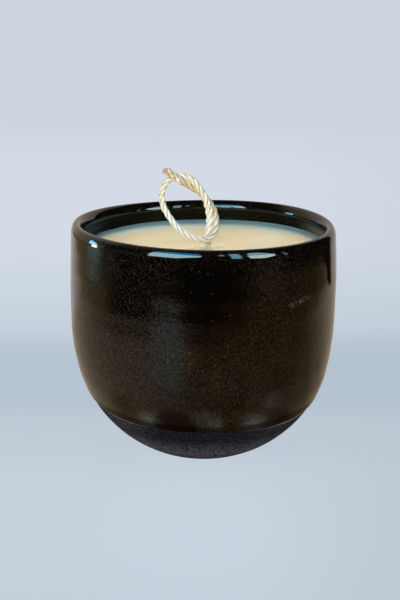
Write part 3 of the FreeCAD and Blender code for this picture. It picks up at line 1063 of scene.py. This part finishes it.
# What stands round the table, seen only in the glaze: the point of the jar it is seen from,
# how far off it is, its corners as (azimuth, elevation) in degrees, and its colour
MOUTH = (0, 0, RIM_HEIGHT)
NEAR_LIP = (0, -0.045, RIM_HEIGHT)
LEFT_LIP = (-0.035, -0.030, 0.081)
PANES = [
    ("backdrop", MOUTH, 2.4, [(-43, -8), (44, -8), (44, 4), (38, 50), (-43, 50)],
     (0.62, 0.56, 0.51)),
    ("left_wall", MOUTH, 2.4, [(-90, -8), (-43, -8), (-43, 14), (-90, 14)],
     (0.60, 0.47, 0.30)),
    ("left_haze", MOUTH, 2.4, [(-74, 14), (-43, 14), (-43, 46), (-74, 46)],
     (0.48, 0.45, 0.37)),
    ("left_gloom", MOUTH, 2.4, [(-90, 14), (-74, 14), (-74, 46), (-90, 46)],
     (0.12, 0.18, 0.17)),
    ("left_blue", MOUTH, 2.2, [(-132, -4), (-90, -4), (-90, 14), (-132, 10)],
     (0.03, 0.10, 0.14)),
    ("pane_left", NEAR_LIP, 2.0, [(-133, 10), (-158, 10), (-178, 23), (-179.5, 31), (-133, 36)],
     (6.2, 10.5, 11.0)),
    ("sky_left", NEAR_LIP, 2.0, [(-133, 36), (-179.5, 31), (-178, 44), (-150, 51), (-133, 45)],
     (0.2, 2.8, 6.8)),
    ("slit_middle", NEAR_LIP, 2.0, [(165, 31), (160, 31), (159, 41), (164, 41)],
     (2.4, 4.0, 4.6)),
    ("pane_middle", NEAR_LIP, 2.0, [(156, 11), (147.5, 11), (144, 43), (153.5, 45)],
     (2.4, 5.8, 6.8)),
    ("pane_right", NEAR_LIP, 2.0, [(140, 25), (116, 22), (124, 42), (135, 42)],
     (3.5, 6.5, 7.6)),
    ("glare_right", NEAR_LIP, 2.0, [(141, 8), (128, 3), (117, 11), (116, 22), (140, 25)],
     (9.0, 11.5, 10.5)),
    ("slit_right", NEAR_LIP, 2.0, [(108.5, 4), (106, 4), (105, 22), (108, 23)],
     (0.9, 2.6, 2.9)),
    ("lamp_low", LEFT_LIP, 0.45, [(-72.7, -6.5), (-80.4, -6.5), (-81, 4), (-74.3, 3)],
     (20, 20, 14)),
    ("lamp_high", LEFT_LIP, 0.45, [(-69.3, 1), (-74.3, 3), (-81, 5), (-78, 14), (-68.3, 16)],
     (3.0, 10, 15)),
]


def build_stage():
    """The floor, turned half round, which sets where its mottling lies, and the panes."""
    floor = stage_face("floor", FLOOR_CORNERS, floor_material())
    floor.location = FLOOR_MIDDLE
    floor.rotation_euler.z = math.pi
    for row in PANES:
        pane(*row)


def sun(name, azimuth, elevation, spread, strength, colour):
    """Even light from one side. Strength is what a white surface that faces it sends back."""
    lamp = bpy.data.lights.new(name, "SUN")
    lamp.energy = strength * math.pi
    lamp.angle = math.radians(spread)
    lamp.color = colour
    thing = put(name, lamp)
    thing.rotation_euler = direction(azimuth, elevation).to_track_quat("Z", "Y").to_euler()
    thing.visible_glossy = False


def build_world():
    """One even colour for light, another for mirrors and a third for the camera."""
    world = bpy.data.worlds.new("studio")
    bpy.context.scene.world = world
    world.use_nodes = True
    nodes = world.node_tree.nodes
    links = world.node_tree.links
    nodes.clear()
    path = nodes.new("ShaderNodeLightPath")
    shader = None
    for ray, colour in ((None, (0.07, 0.22, 0.46)), ("Is Glossy Ray", (0.01, 0.008, 0.006)),
                        ("Is Camera Ray", FAR_COLOUR)):
        light = nodes.new("ShaderNodeBackground")
        light.inputs["Color"].default_value = (*colour, 1)
        if ray:
            mixed = nodes.new("ShaderNodeMixShader")
            links.new(path.outputs[ray], mixed.inputs[0])
            links.new(shader.outputs[0], mixed.inputs[1])
            links.new(light.outputs[0], mixed.inputs[2])
            light = mixed
        shader = light
    links.new(shader.outputs[0], nodes.new("ShaderNodeOutputWorld").inputs["Surface"])


def build_camera():
    data = bpy.data.cameras.new("camera")
    data.lens = CAMERA_LENS
    data.sensor_width = 36
    data.clip_start = 0.01
    camera = put("camera", data)
    camera.location = CAMERA_PLACE
    camera.rotation_euler = (math.radians(90 - CAMERA_PITCH), 0, 0)
    bpy.context.scene.camera = camera


# ---- the scene

def dress(piece, material, node):
    """Give a new piece its material, hang it under the root, and hide the CAD node it stands in
    for.
    """
    piece.data.materials.append(material)
    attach(piece, "root")
    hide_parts(node)


def repaint(node, material):
    """Give a CAD node that stays a better material."""
    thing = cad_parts[node]
    for slot in thing.material_slots:
        slot.material = material


bpy.context.scene.view_settings.view_transform = "Standard"

build_camera()
wick, wick_points, wick_length = rope_wick()
dress(wick, strand_material(), "wick_loop")
dress(glaze_skin(), glaze_material(), "glaze_coat")
dress(clay_pot(), clay_material(), "stoneware_body")
dress(wax_pour(), wax_material(), "wax_fill")
repaint("wick_stem", stem_material())
repaint("wick_tab", steel_material())
repaint("wick_sticker", foam_material())
build_stage()
sun("key", 5, 34, 32, 1.15, (1.0, 0.78, 0.38))
sun("fill", 190, 12, 45, 1.1, (0.94, 0.99, 0.94))
build_world()
